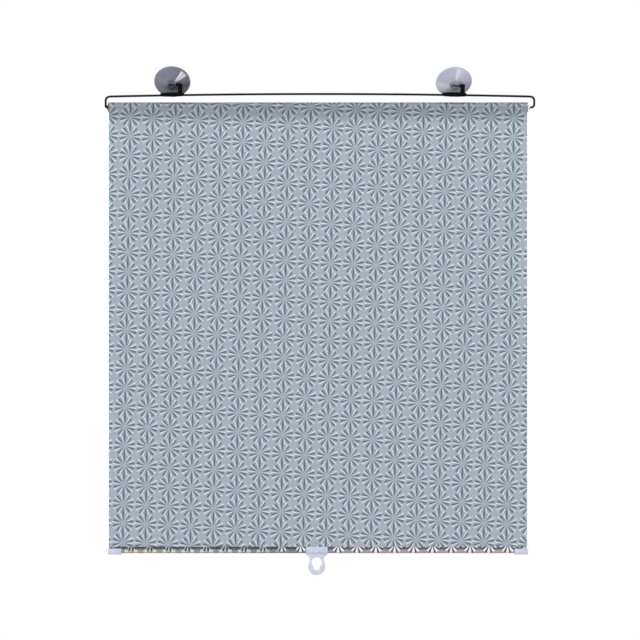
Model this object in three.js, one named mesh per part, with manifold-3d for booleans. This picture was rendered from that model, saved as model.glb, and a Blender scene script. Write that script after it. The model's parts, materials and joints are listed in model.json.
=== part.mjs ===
// Roll-up film sunshade for a car side window, pulled down to its full length.
// Millimetres, +Z up. The roller lies along X and the viewer is on the -Y side.
import * as THREE from 'three';
import { mergeVertices } from 'three/addons/utils/BufferGeometryUtils.js';
import Module from 'manifold-3d';

const wasm = await Module();
wasm.setup();

// Clearance round every shaft, bore and pocket where two pieces fit together.
const fitGap = 0.3;

// Film: some turns on the tube, the long drop in front of it and the hem pocket.
const filmWidth = 500;
const filmThickness = 0.3;
const filmTurnGap = 0.25;
const hemTop = 525.7;

// Roller tube and the plugs in its ends.
const tubeOverhang = 0.5;
const tubeRadius = 5.5;
const tubeWall = 0.6;
const plugBarrelLength = 14;
const plugFlangeRadius = 5.2;
const plugFlangeThickness = 0.6;
const bearingBarrelLength = 10;

// Still spindle on the right, and the spring wound over it.
const spindleHeadRadius = 3.2;
const spindleHeadLength = 2.2;
const spindleJournalRadius = 2.7;
const spindleCollarRadius = 4.3;
const spindleCollarThickness = 2;
const spindleCoreRadius = 2;
const spindleCoreLength = 96;
const socketDepth = 9;
const springCoilRadius = 3.2;
const springWireRadius = 0.35;
const springTurns = 20;
const springTailLength = 1.6;
const springSeatDepth = 3;
const anchorLength = 10;

// Black wire frame over the roller.
const wireRadius = 1.15;
const leftLegDistance = 2.7;
const rightLegDistance = 8.1;
const hangerHeight = 12.9;
const hangerRise = 3.1;
const topBendReach = 5.2;
const lowBendReach = 2;
const rightBendReach = 4.2;
const leftHookLength = 13;
const rightHookLength = 13;
const tangThickness = 1.4;

// Snap clips that carry the suction cups on the wire.
const clipLength = 28.6;
const clipMiddleRadius = 3.1;
const clipEndRadius = 2.1;
const clipMouthHalfAngle = 50;
const armInnerEdge = 7.2;
const armWidth = 5.1;
const armThickness = 3.3;
const armFlare = 2.6;
const armCornerRadius = 1.7;
const pegHeight = 12.4;
const pegRadius = 1.5;
const pegReach = 4.9;

// Suction cups, measured from the peg's axis through the knob.
const cupRadius = 21.75;
const cupLipWidth = 1.8;
const cupLipThickness = 0.5;
const rimDistance = 7.8;
const hollowDepth = 2.9;
const knobRadius = 5.3;
const knobFrontDistance = 4;
const knobEdgeRadius = 0.9;
const neckRadius = 4.4;
const neckDistance = 2.6;
const knobHoleRadius = 2.2;

// Where each cup sits on the wire and how far its clip and its own axis lean, in degrees.
const cupPlaces = {
  left: { x: -177.2, clipTilt: 18, cupTilt: 33.3, cupLean: -2.2 },
  right: { x: 160.6, clipTilt: 30, cupTilt: 35.8, cupLean: 6 },
};

// Rod in the hem, its end caps and the pull tab.
const hemRodDrop = 5.7;
const hemRodRadius = 1.5;
const capRadius = 3.7;
const capLength = 16.2;
const capOverhang = 1.3;
const capEndWall = 1.3;
const capEndRound = 1.1;
const tabX = -4;
const tabBandWidth = 26;
const tabBandRise = 5.8;
const tabBandFoot = 2.2;
const tabBandThickness = 7.4;
const tabBandCorner = 1.5;
const tabPlateThickness = 2.4;
const tabWaistDrop = 8.2;
const tabWaistWidth = 18.6;
const tabLobeDrop = 17.5;
const tabLobeRadius = 10.6;
const keyholeDrop = 13;
const keyholeRadius = 6.7;
const slotDrop = 18.3;
const slotRadius = 4.3;

const degrees = Math.PI / 180;
const tubeInnerRadius = tubeRadius - tubeWall;
const plugBarrelRadius = tubeInnerRadius - fitGap;
const tubeLength = filmWidth + 2 * tubeOverhang;
const hangerWidth = tubeLength + leftLegDistance + rightLegDistance;
const filmShift = (leftLegDistance - rightLegDistance) / 2;
const tubeLeft = filmShift - tubeLength / 2;
const tubeRight = filmShift + tubeLength / 2;
const filmLeft = filmShift - filmWidth / 2;
const filmRight = filmShift + filmWidth / 2;
const turnInner = tubeRadius + filmTurnGap;
const turnOuter = turnInner + filmThickness;
const dropY = -(turnInner + turnOuter) / 2;
const pocketInner = hemRodRadius + filmTurnGap;
const pocketOuter = pocketInner + filmThickness;
const cavityRadius = pocketOuter + fitGap;
const hemRodDepth = hemTop + hemRodDrop;
const tabBandTop = hemRodDepth - tabBandRise;
const tabBandBottom = hemRodDepth + tabBandFoot;
const tabWaistDepth = hemRodDepth + tabWaistDrop;
const tabLobeDepth = hemRodDepth + tabLobeDrop;
const keyholeDepth = hemRodDepth + keyholeDrop;
const slotDepth = hemRodDepth + slotDrop;
const collarRight = tubeRight - bearingBarrelLength - fitGap;
const collarLeft = collarRight - spindleCollarThickness;
const anchorRight = collarLeft - spindleCoreLength + anchorLength;
const springBend = 2.2 * springWireRadius;
const tubeSides = 32;

function material(color, roughness, metalness, opacity = 1) {
  return new THREE.MeshStandardMaterial({ color, roughness, metalness, opacity, transparent: opacity < 1 });
}

const blackWire = material(0x1a1a1c, 0.42, 0.1);
const blackPlastic = material(0x101012, 0.45, 0);
const clearVinyl = material(0x8f93a3, 0.18, 0, 0.6);
const milkyPlastic = material(0xd0d2e0, 0.35, 0, 0.9);
const silverFilm = material(0xa5aeb8, 0.3, 0.2);
const tubeMetal = material(0x9a9ca0, 0.4, 0.8);
const springSteel = material(0x6d6f74, 0.35, 0.9);

// Closed solid from a geometry whose faces meet at shared corners.
function solidOf(geometry) {
  const bare = geometry.clone();
  bare.deleteAttribute('normal');
  bare.deleteAttribute('uv');
  const merged = mergeVertices(bare, 1e-4);
  const corners = Array.from(merged.index.array);
  const triangles = [];
  for (let i = 0; i < corners.length; i += 3) {
    const [a, b, c] = corners.slice(i, i + 3);
    if (a !== b && b !== c && c !== a) triangles.push(a, b, c);
  }
  return new wasm.Manifold(new wasm.Mesh({
    numProp: 3,
    vertProperties: new Float32Array(merged.attributes.position.array),
    triVerts: new Uint32Array(triangles),
  }));
}

function geometryOf(solid) {
  const mesh = solid.getMesh();
  const geometry = new THREE.BufferGeometry();
  geometry.setAttribute('position', new THREE.BufferAttribute(new Float32Array(mesh.vertProperties), 3));
  geometry.setIndex(new THREE.BufferAttribute(new Uint32Array(mesh.triVerts), 1));
  geometry.computeVertexNormals();
  return geometry;
}

function node(name, solid, itsMaterial) {
  const mesh = new THREE.Mesh(geometryOf(solid), itsMaterial.clone());
  mesh.name = name;
  return mesh;
}

// Body turned about X: the outline gives the radius as x and the place along the axis as y.
function turnedAboutX(outline, sides, smoothness = 6) {
  const geometry = new THREE.LatheGeometry(outline.getPoints(smoothness), sides);
  geometry.rotateZ(-Math.PI / 2);
  return solidOf(geometry);
}

function rodAlongX(from, to, radius, sides = tubeSides) {
  const outline = new THREE.Path();
  outline.moveTo(0, from);
  outline.lineTo(radius, from);
  outline.lineTo(radius, to);
  outline.lineTo(0, to);
  return turnedAboutX(outline, sides);
}

function pipeAlongX(from, to, inner, outer, sides = tubeSides) {
  return rodAlongX(from, to, outer, sides).subtract(rodAlongX(from - 1, to + 1, inner, sides));
}

// Outline in Y and Z drawn out along X.
function drawnAlongX(outline, from, to, smoothness = 12) {
  const geometry = new THREE.ExtrudeGeometry(outline, {
    depth: to - from,
    bevelEnabled: false,
    curveSegments: smoothness,
  });
  geometry.applyMatrix4(new THREE.Matrix4().makeBasis(
    new THREE.Vector3(0, 1, 0),
    new THREE.Vector3(0, 0, 1),
    new THREE.Vector3(1, 0, 0),
  ));
  geometry.translate(from, 0, 0);
  return solidOf(geometry);
}

// Outline in X and Z given a thickness along Y, centred on the plane at y.
function plateFacingY(outline, y, thickness, smoothness = 12) {
  const geometry = new THREE.ExtrudeGeometry(outline, {
    depth: thickness,
    bevelEnabled: false,
    curveSegments: smoothness,
  });
  geometry.rotateX(Math.PI / 2);
  geometry.translate(0, y + thickness / 2, 0);
  return solidOf(geometry);
}

function boxBetween(x0, x1, y0, y1, z0, z1) {
  const geometry = new THREE.BoxGeometry(x1 - x0, y1 - y0, z1 - z0);
  geometry.translate((x0 + x1) / 2, (y0 + y1) / 2, (z0 + z1) / 2);
  return solidOf(geometry);
}

// Line of joined curves, each cut into its own number of steps.
class SteppedPath extends THREE.Curve {
  constructor(pieces) {
    super();
    this.pieces = pieces;
    this.steps = pieces.reduce((sum, piece) => sum + piece.steps, 0);
  }

  locate(t) {
    let step = t * this.steps;
    for (const piece of this.pieces) {
      if (step <= piece.steps + 1e-9) return { curve: piece.curve, at: Math.min(step / piece.steps, 1) };
      step -= piece.steps;
    }
    return { curve: this.pieces.at(-1).curve, at: 1 };
  }

  getPoint(t, target = new THREE.Vector3()) {
    const { curve, at } = this.locate(t);
    return target.copy(curve.getPoint(at));
  }

  getTangent(t, target = new THREE.Vector3()) {
    const { curve, at } = this.locate(t);
    return target.copy(curve.getTangent(at));
  }

  getPointAt(t, target) {
    return this.getPoint(t, target);
  }

  getTangentAt(t, target) {
    return this.getTangent(t, target);
  }
}

class Helix extends THREE.Curve {
  constructor(radius, from, to, turns) {
    super();
    Object.assign(this, { radius, from, to, turns });
  }

  getPoint(t, target = new THREE.Vector3()) {
    const angle = t * this.turns * 2 * Math.PI;
    const x = this.from + (this.to - this.from) * t;
    return target.set(x, this.radius * Math.sin(angle), this.radius * Math.cos(angle));
  }

  getTangent(t, target = new THREE.Vector3()) {
    const angle = t * this.turns * 2 * Math.PI;
    const turned = this.radius * this.turns * 2 * Math.PI;
    return target.set(this.to - this.from, turned * Math.cos(angle), -turned * Math.sin(angle)).normalize();
  }
}

function roundBar(path, radius, sides) {
  const section = new THREE.Shape();
  section.absarc(0, 0, radius, 0, 2 * Math.PI);
  return solidOf(new THREE.ExtrudeGeometry(section, {
    steps: path.steps,
    extrudePath: path,
    curveSegments: sides / 2,
  }));
}

function straight(from, to) {
  return { curve: new THREE.LineCurve3(from, to), steps: 1 };
}

function bend(from, corner, to, steps = 6) {
  return { curve: new THREE.QuadraticBezierCurve3(from, corner, to), steps };
}

// Height of the wire's centre line above the roller axis along its arched top.
function topBarHeight(x) {
  const share = x / (hangerWidth / 2);
  return hangerHeight + hangerRise * (1 - share * share);
}

function topBarSlope(x) {
  return Math.atan(-2 * hangerRise * x / (hangerWidth / 2) ** 2);
}

// One bent wire: a hook into the left plug, a leg, the arched top, a leg and the right hook.
function wireHanger() {
  const half = hangerWidth / 2;
  const at = (x, z) => new THREE.Vector3(x, 0, z);
  const archStart = half - topBendReach;
  const archControl = 2 * topBarHeight(0) - topBarHeight(archStart);
  const leftTop = at(-archStart, topBarHeight(archStart));
  const rightTop = at(archStart, topBarHeight(archStart));
  const path = new SteppedPath([
    straight(at(-half + leftHookLength, 0), at(-half + lowBendReach, 0)),
    bend(at(-half + lowBendReach, 0), at(-half, 0), at(-half, lowBendReach)),
    straight(at(-half, lowBendReach), at(-half, hangerHeight - topBendReach)),
    bend(at(-half, hangerHeight - topBendReach), at(-half, hangerHeight), leftTop),
    bend(leftTop, at(0, archControl), rightTop, 28),
    bend(rightTop, at(half, hangerHeight), at(half, hangerHeight - topBendReach)),
    straight(at(half, hangerHeight - topBendReach), at(half, rightBendReach)),
    bend(at(half, rightBendReach), at(half, 0), at(half - rightBendReach, 0)),
    straight(at(half - rightBendReach, 0), at(half - rightHookLength, 0)),
  ]);
  const tip = half - rightHookLength;
  const tangEnd = tubeRight + plugFlangeThickness + fitGap + spindleHeadLength;
  const cut = 2 * wireRadius;
  const aboveTang = boxBetween(tip - 1, tangEnd, -cut, cut, tangThickness / 2, cut);
  const belowTang = boxBetween(tip - 1, tangEnd, -cut, cut, -cut, -tangThickness / 2);
  return roundBar(path, wireRadius, 12).subtract(aboveTang).subtract(belowTang);
}

function rollerTube() {
  return pipeAlongX(tubeLeft, tubeRight, tubeInnerRadius, tubeRadius);
}

// Plug whose blind bore turns on the wire's left hook.
function leftPlug() {
  const flange = rodAlongX(tubeLeft - plugFlangeThickness, tubeLeft, plugFlangeRadius);
  const barrel = rodAlongX(tubeLeft - plugFlangeThickness, tubeLeft + plugBarrelLength, plugBarrelRadius);
  const boreEnd = -hangerWidth / 2 + leftHookLength + fitGap;
  const bore = rodAlongX(tubeLeft - 5, boreEnd, wireRadius + fitGap, 24);
  return flange.add(barrel).subtract(bore);
}

// Ring in the tube's right end that turns on the spindle.
function spindleBearing() {
  const flange = rodAlongX(tubeRight, tubeRight + plugFlangeThickness, plugFlangeRadius);
  const flangeRight = tubeRight + plugFlangeThickness;
  const barrel = rodAlongX(tubeRight - bearingBarrelLength, flangeRight, plugBarrelRadius);
  const boreRadius = spindleJournalRadius + fitGap;
  const bore = rodAlongX(tubeRight - 2 * bearingBarrelLength, tubeRight + bearingBarrelLength, boreRadius);
  return flange.add(barrel).subtract(bore);
}

// Spindle: a head outside the roller, the journal, a collar that holds the spring's tail, and the core.
function springSpindle() {
  const headLeft = tubeRight + plugFlangeThickness + fitGap;
  const headRight = headLeft + spindleHeadLength;
  const coreLeft = collarLeft - spindleCoreLength;
  const outline = new THREE.Path();
  outline.moveTo(0, coreLeft);
  outline.lineTo(spindleCoreRadius, coreLeft);
  outline.lineTo(spindleCoreRadius, collarLeft);
  outline.lineTo(spindleCollarRadius, collarLeft);
  outline.lineTo(spindleCollarRadius, collarRight);
  outline.lineTo(spindleJournalRadius, collarRight);
  outline.lineTo(spindleJournalRadius, headLeft);
  outline.lineTo(spindleHeadRadius, headLeft);
  outline.lineTo(spindleHeadRadius, headRight);
  outline.lineTo(0, headRight);
  const slotHalfWidth = wireRadius + fitGap;
  const slotHalfHeight = tangThickness / 2 + fitGap;
  const socket = boxBetween(
    headRight - socketDepth, headRight + 1, -slotHalfWidth, slotHalfWidth, -slotHalfHeight, slotHalfHeight,
  );
  const tailHole = rodAlongX(collarLeft - 1, collarRight + 1, springWireRadius + fitGap, 12)
    .translate([0, springBend, springCoilRadius]);
  return turnedAboutX(outline, tubeSides).subtract(socket).subtract(tailHole);
}

// Plug fixed in the tube that the spring turns: the last coils sit in its round seat, and the
// spindle's end runs in its bore.
function springAnchor() {
  const barrel = rodAlongX(anchorRight - anchorLength, anchorRight, plugBarrelRadius);
  const bore = rodAlongX(anchorRight - 2 * anchorLength, anchorRight + anchorLength, spindleCoreRadius + fitGap);
  const seatRadius = springCoilRadius + springWireRadius + fitGap;
  const seat = rodAlongX(anchorRight - springSeatDepth, anchorRight + springSeatDepth, seatRadius);
  return barrel.subtract(bore).subtract(seat);
}

// Torsion spring over the spindle's core, with a straight tail into the collar's hole.
function torsionSpring() {
  const from = anchorRight - springSeatDepth + fitGap + springWireRadius;
  const to = collarLeft - fitGap - 2 * springBend;
  const coil = new Helix(springCoilRadius, from, to, springTurns);
  const at = (x, y) => new THREE.Vector3(x, y, springCoilRadius);
  const tail = at(collarLeft + springTailLength, springBend);
  const turn = at(to + springBend, springBend);
  const path = new SteppedPath([
    { curve: coil, steps: springTurns * 8 },
    bend(at(to, 0), at(to, springBend), turn, 3),
    straight(turn, tail),
  ]);
  return roundBar(path, springWireRadius, 6);
}

// Outline of the hem pocket, or of anything else that hugs the rod and narrows to a neck above it.
function dropOutline(radius, neckHalfWidth, neckHeight) {
  const lift = Math.asin((radius - neckHalfWidth) / neckHeight);
  const outline = new THREE.Shape();
  outline.moveTo(neckHalfWidth, neckHeight);
  outline.lineTo(-neckHalfWidth, neckHeight);
  outline.absarc(0, 0, radius, Math.PI - lift, 2 * Math.PI + lift, false);
  outline.closePath();
  return outline;
}

// The whole film in one piece: turns on the tube, the drop and the pocket welded round the hem rod.
function film() {
  const turns = pipeAlongX(filmLeft, filmRight, turnInner, turnOuter, 48);
  const weld = hemTop - hemRodDepth;
  const drop = boxBetween(
    filmLeft, filmRight, dropY - filmThickness / 2, dropY + filmThickness / 2, -hemTop, 0,
  );
  const pocketSkin = drawnAlongX(dropOutline(pocketOuter, filmThickness, -weld), filmLeft, filmRight);
  const pocketSpace = drawnAlongX(
    dropOutline(pocketInner, filmThickness / 4, -weld - 2 * filmThickness), filmLeft - 1, filmRight + 1,
  );
  const pocket = pocketSkin.subtract(pocketSpace).translate([0, dropY, -hemRodDepth]);
  return turns.add(drop).add(pocket);
}

function hemRod() {
  const rod = rodAlongX(filmLeft, filmRight, hemRodRadius, 20);
  return rod.translate([0, dropY, -hemRodDepth]);
}

// Space that the hem takes inside the caps and the tab, open upwards for the film.
function hemSpace(from, to) {
  const neck = filmThickness + fitGap;
  const narrow = drawnAlongX(dropOutline(cavityRadius, neck, hemRodDepth - hemTop), from, to);
  const mouth = boxBetween(from, to, -neck, neck, 0, capRadius + tabBandThickness);
  return narrow.add(mouth).translate([0, dropY, -hemRodDepth]);
}

// Rounded cap over one end of the hem; side is -1 on the left and +1 on the right.
function railCap(side) {
  const outer = filmShift + side * (filmWidth / 2 + capOverhang);
  const outline = new THREE.Path();
  outline.moveTo(0, 0);
  outline.lineTo(capRadius, 0);
  outline.lineTo(capRadius, capLength - capEndRound);
  outline.absarc(capRadius - capEndRound, capLength - capEndRound, capEndRound, 0, Math.PI / 2, false);
  outline.lineTo(0, capLength);
  const shell = side > 0
    ? turnedAboutX(outline, 24)
    : turnedAboutX(outline, 24).rotate([0, 0, 180]);
  const placed = shell.translate([outer - side * capLength, dropY, -hemRodDepth]);
  const open = outer - side * (capLength + 1);
  const closed = outer - side * capEndWall;
  return placed.subtract(hemSpace(Math.min(open, closed), Math.max(open, closed)));
}

// Outline of the tab: band, hollow shoulders, waist and round lobe.
function tabOutline() {
  const band = tabBandWidth / 2;
  const waist = tabWaistWidth / 2;
  const meet = Math.asin(0.5);
  const outline = new THREE.Shape();
  outline.moveTo(-band, -tabBandTop - tabBandCorner);
  outline.lineTo(-band, -tabBandBottom);
  outline.bezierCurveTo(-band, -tabBandBottom - 3, -waist, -tabWaistDepth + 3, -waist, -tabWaistDepth);
  outline.quadraticCurveTo(
    -waist, -tabWaistDepth - 2,
    -tabLobeRadius * Math.cos(meet), -tabLobeDepth + tabLobeRadius * Math.sin(meet),
  );
  outline.absarc(0, -tabLobeDepth, tabLobeRadius, Math.PI - meet, 2 * Math.PI + meet, false);
  outline.quadraticCurveTo(waist, -tabWaistDepth - 2, waist, -tabWaistDepth);
  outline.bezierCurveTo(waist, -tabWaistDepth + 3, band, -tabBandBottom - 3, band, -tabBandBottom);
  outline.lineTo(band, -tabBandTop - tabBandCorner);
  outline.quadraticCurveTo(band, -tabBandTop, band - tabBandCorner, -tabBandTop);
  outline.lineTo(-band + tabBandCorner, -tabBandTop);
  outline.quadraticCurveTo(-band, -tabBandTop, -band, -tabBandTop - tabBandCorner);
  return outline;
}

// Cross-section of the band that grips the hem, rounded like the rail caps.
function bandSection() {
  const half = tabBandThickness / 2;
  const outline = new THREE.Shape();
  outline.moveTo(-half, -tabBandTop - half);
  outline.lineTo(-half, -tabBandBottom + half / 2);
  outline.quadraticCurveTo(-half, -tabBandBottom - half / 2, 0, -tabBandBottom - half / 2);
  outline.quadraticCurveTo(half, -tabBandBottom - half / 2, half, -tabBandBottom + half / 2);
  outline.lineTo(half, -tabBandTop - half);
  outline.quadraticCurveTo(half, -tabBandTop, half / 2, -tabBandTop);
  outline.lineTo(-half / 2, -tabBandTop);
  outline.quadraticCurveTo(-half, -tabBandTop, -half, -tabBandTop - half);
  return outline;
}

function pullTab() {
  const plate = plateFacingY(tabOutline(), 0, tabPlateThickness, 10);
  const fullOutline = plateFacingY(tabOutline(), 0, 2 * tabBandThickness, 10);
  const band = drawnAlongX(bandSection(), -tabBandWidth, tabBandWidth, 6).intersect(fullOutline);
  const round = new THREE.Shape();
  round.absarc(0, -keyholeDepth, keyholeRadius, 0, 2 * Math.PI);
  const slot = new THREE.Shape();
  slot.absarc(0, -slotDepth, slotRadius, 0, 2 * Math.PI);
  const keyhole = plateFacingY(round, 0, 3 * tabBandThickness, 16)
    .add(plateFacingY(slot, 0, 3 * tabBandThickness, 12));
  return plate.add(band).translate([tabX, dropY, 0])
    .subtract(hemSpace(tabX - tabBandWidth, tabX + tabBandWidth))
    .subtract(keyhole.translate([tabX, dropY, 0]));
}

// Outline of the clip's arm seen from the front, flared where it grows out of the sleeve.
function armOutline() {
  const outer = armInnerEdge + armWidth;
  const top = pegHeight + pegRadius + 0.4;
  const foot = wireRadius;
  const outline = new THREE.Shape();
  outline.moveTo(armInnerEdge - armFlare, foot);
  outline.lineTo(armInnerEdge - armFlare, clipMiddleRadius - 0.4);
  outline.quadraticCurveTo(armInnerEdge, clipMiddleRadius - 0.4, armInnerEdge, clipMiddleRadius + armFlare);
  outline.lineTo(armInnerEdge, top);
  outline.lineTo(outer - armCornerRadius, top);
  outline.quadraticCurveTo(outer, top, outer, top - armCornerRadius);
  outline.lineTo(outer, clipMiddleRadius + 1);
  outline.lineTo(outer + 0.8, foot);
  outline.closePath();
  return outline;
}

// Snap clip: barrel sleeve open below, arm, and a peg for the cup. The wire runs through its origin.
function cupClip() {
  const half = clipLength / 2;
  const barrel = new THREE.Path();
  barrel.moveTo(0, -half);
  barrel.lineTo(clipEndRadius, -half);
  barrel.quadraticCurveTo(2 * clipMiddleRadius - clipEndRadius, 0, clipEndRadius, half);
  barrel.lineTo(0, half);
  const sleeve = turnedAboutX(barrel, 24, 10);
  const arm = plateFacingY(armOutline(), 0, armThickness, 8);
  const pegOutline = new THREE.Path();
  pegOutline.moveTo(0, -pegReach);
  pegOutline.quadraticCurveTo(pegRadius, -pegReach, pegRadius, -pegReach + 1);
  pegOutline.lineTo(pegRadius, armInnerEdge + 1);
  pegOutline.lineTo(0, armInnerEdge + 1);
  const peg = turnedAboutX(pegOutline, 20).translate([0, 0, pegHeight]);
  const bore = rodAlongX(-clipLength, clipLength, wireRadius + fitGap, 24);
  const reach = 2 * clipMiddleRadius;
  const spread = reach * Math.tan(clipMouthHalfAngle * degrees);
  const wedge = new THREE.Shape();
  wedge.moveTo(0, 0);
  wedge.lineTo(-spread, -reach);
  wedge.lineTo(spread, -reach);
  wedge.closePath();
  const mouth = drawnAlongX(wedge, -clipLength, clipLength);
  return sleeve.add(arm).add(peg).subtract(bore).subtract(mouth);
}

// Suction cup about the peg's axis: the hollow side faces +Y, the knob -Y.
function suctionCup() {
  const hollow = rimDistance - hollowDepth;
  const outline = new THREE.Path();
  outline.moveTo(0, -knobFrontDistance);
  outline.lineTo(knobRadius - knobEdgeRadius, -knobFrontDistance);
  outline.absarc(
    knobRadius - knobEdgeRadius, -knobFrontDistance + knobEdgeRadius, knobEdgeRadius, -Math.PI / 2, 0, false,
  );
  outline.lineTo(knobRadius, neckDistance - 1.4);
  outline.quadraticCurveTo(knobRadius, neckDistance - 0.6, neckRadius, neckDistance);
  outline.bezierCurveTo(
    neckRadius + 5, neckDistance + 0.3, cupRadius - 6, rimDistance - 3.2, cupRadius, rimDistance - cupLipThickness,
  );
  outline.lineTo(cupRadius, rimDistance);
  outline.lineTo(cupRadius - cupLipWidth, rimDistance);
  outline.bezierCurveTo(cupRadius - 7, rimDistance - 1.3, cupRadius - 13, hollow, 0, hollow);
  const body = solidOf(new THREE.LatheGeometry(outline.getPoints(4), 40));
  return body.subtract(rodAlongX(-2 * knobRadius, 2 * knobRadius, knobHoleRadius, 20));
}

// Clip and cup on their place along the wire, in nested groups that turn as the real ones do.
function cupAndClip(side) {
  const place = cupPlaces[side];
  const onWire = new THREE.Group();
  onWire.position.set(place.x, 0, topBarHeight(place.x));
  onWire.rotation.y = -topBarSlope(place.x);
  const swung = new THREE.Group();
  swung.rotation.x = place.clipTilt * degrees;
  const onPeg = new THREE.Group();
  onPeg.position.z = pegHeight;
  onPeg.rotation.x = (place.cupTilt - place.clipTilt) * degrees;
  const cup = node(`suction_cup_${side}`, suctionCup(), clearVinyl);
  cup.rotation.z = place.cupLean * degrees;
  onPeg.add(cup);
  swung.add(node(`cup_clip_${side}`, cupClip(), blackPlastic), onPeg);
  onWire.add(swung);
  return onWire;
}

const sunshade = new THREE.Group();
sunshade.name = 'side_window_sunshade';
sunshade.add(
  node('wire_hanger', wireHanger(), blackWire),
  node('spring_spindle', springSpindle(), milkyPlastic),
  node('torsion_spring', torsionSpring(), springSteel),
  node('roller_tube', rollerTube(), tubeMetal),
  node('left_end_plug', leftPlug(), blackPlastic),
  node('spindle_bearing', spindleBearing(), milkyPlastic),
  node('spring_anchor', springAnchor(), blackPlastic),
  node('film', film(), silverFilm),
  node('hem_rod', hemRod(), blackPlastic),
  node('rail_cap_left', railCap(-1), milkyPlastic),
  node('rail_cap_right', railCap(1), milkyPlastic),
  node('pull_tab', pullTab(), milkyPlastic),
  cupAndClip('left'),
  cupAndClip('right'),
);

// The origin is the middle of the whole object's box.
const whole = new THREE.Group();
whole.name = 'sunshade_on_its_centre';
whole.add(sunshade);
whole.updateMatrixWorld(true);
const middle = new THREE.Box3().setFromObject(whole, true).getCenter(new THREE.Vector3());
sunshade.position.copy(middle).negate();
whole.updateMatrixWorld(true);

export default whole;
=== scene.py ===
# Looks of the roll-up film sunshade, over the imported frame. Metres, +Z up, the viewer on the -Y side.
import json
from math import asin, atan2, copysign, cos, degrees, pi, radians, sin, sqrt

import bmesh
import bpy
from mathutils import Matrix, Vector


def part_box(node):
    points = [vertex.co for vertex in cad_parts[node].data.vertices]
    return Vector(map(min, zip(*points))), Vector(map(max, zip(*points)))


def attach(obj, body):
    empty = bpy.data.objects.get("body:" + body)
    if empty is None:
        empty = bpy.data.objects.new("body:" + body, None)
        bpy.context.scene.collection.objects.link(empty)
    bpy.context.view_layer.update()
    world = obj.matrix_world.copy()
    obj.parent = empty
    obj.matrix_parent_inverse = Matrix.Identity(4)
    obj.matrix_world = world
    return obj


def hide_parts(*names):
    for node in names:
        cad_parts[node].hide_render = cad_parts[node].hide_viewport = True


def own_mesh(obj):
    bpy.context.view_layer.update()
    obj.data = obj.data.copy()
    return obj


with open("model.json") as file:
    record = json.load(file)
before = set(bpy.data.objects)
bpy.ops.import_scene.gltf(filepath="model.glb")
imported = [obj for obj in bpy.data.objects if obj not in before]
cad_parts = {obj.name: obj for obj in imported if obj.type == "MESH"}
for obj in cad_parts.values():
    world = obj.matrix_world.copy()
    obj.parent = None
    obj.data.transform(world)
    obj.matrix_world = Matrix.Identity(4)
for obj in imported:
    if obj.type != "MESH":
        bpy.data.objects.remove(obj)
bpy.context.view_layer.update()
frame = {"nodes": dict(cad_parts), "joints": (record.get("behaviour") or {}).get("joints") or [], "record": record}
joints = {joint["name"]: joint for joint in frame["joints"]}
mm = 0.001
perMetre = 1000
rollerAxis = Vector((0, *joints["roller_spin"]["pos_m"][1:]))
atRoller = Matrix.Translation(rollerAxis)
filmLeft, filmRight = (Vector(corner).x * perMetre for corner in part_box("film"))
print("frame loaded, roller axis at height", round(rollerAxis.z, 4))


# ---- helpers for materials

def srgb(red, green, blue):
    # a colour as read off a picture, 0 to 255, as the linear values that shaders take
    def linear(value):
        value /= 255
        return value / 12.92 if value < 0.04 else ((value + 0.055) / 1.055) ** 2.4
    return linear(red), linear(green), linear(blue), 1.0


class Value:
    # one socket of a material, so that its maths reads as an expression
    def __init__(self, finish, socket):
        self.finish, self.socket = finish, socket

    def calc(self, operation, *others):
        return self.finish.math(operation, self, *others)

    def __add__(self, other): return self.calc("ADD", other)
    def __radd__(self, other): return self.finish.math("ADD", other, self)
    def __sub__(self, other): return self.calc("SUBTRACT", other)
    def __rsub__(self, other): return self.finish.math("SUBTRACT", other, self)
    def __mul__(self, other): return self.calc("MULTIPLY", other)
    def __rmul__(self, other): return self.finish.math("MULTIPLY", other, self)
    def __truediv__(self, other): return self.calc("DIVIDE", other)
    def __lt__(self, other): return self.calc("LESS_THAN", other)
    def __abs__(self): return self.calc("ABSOLUTE")


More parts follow.
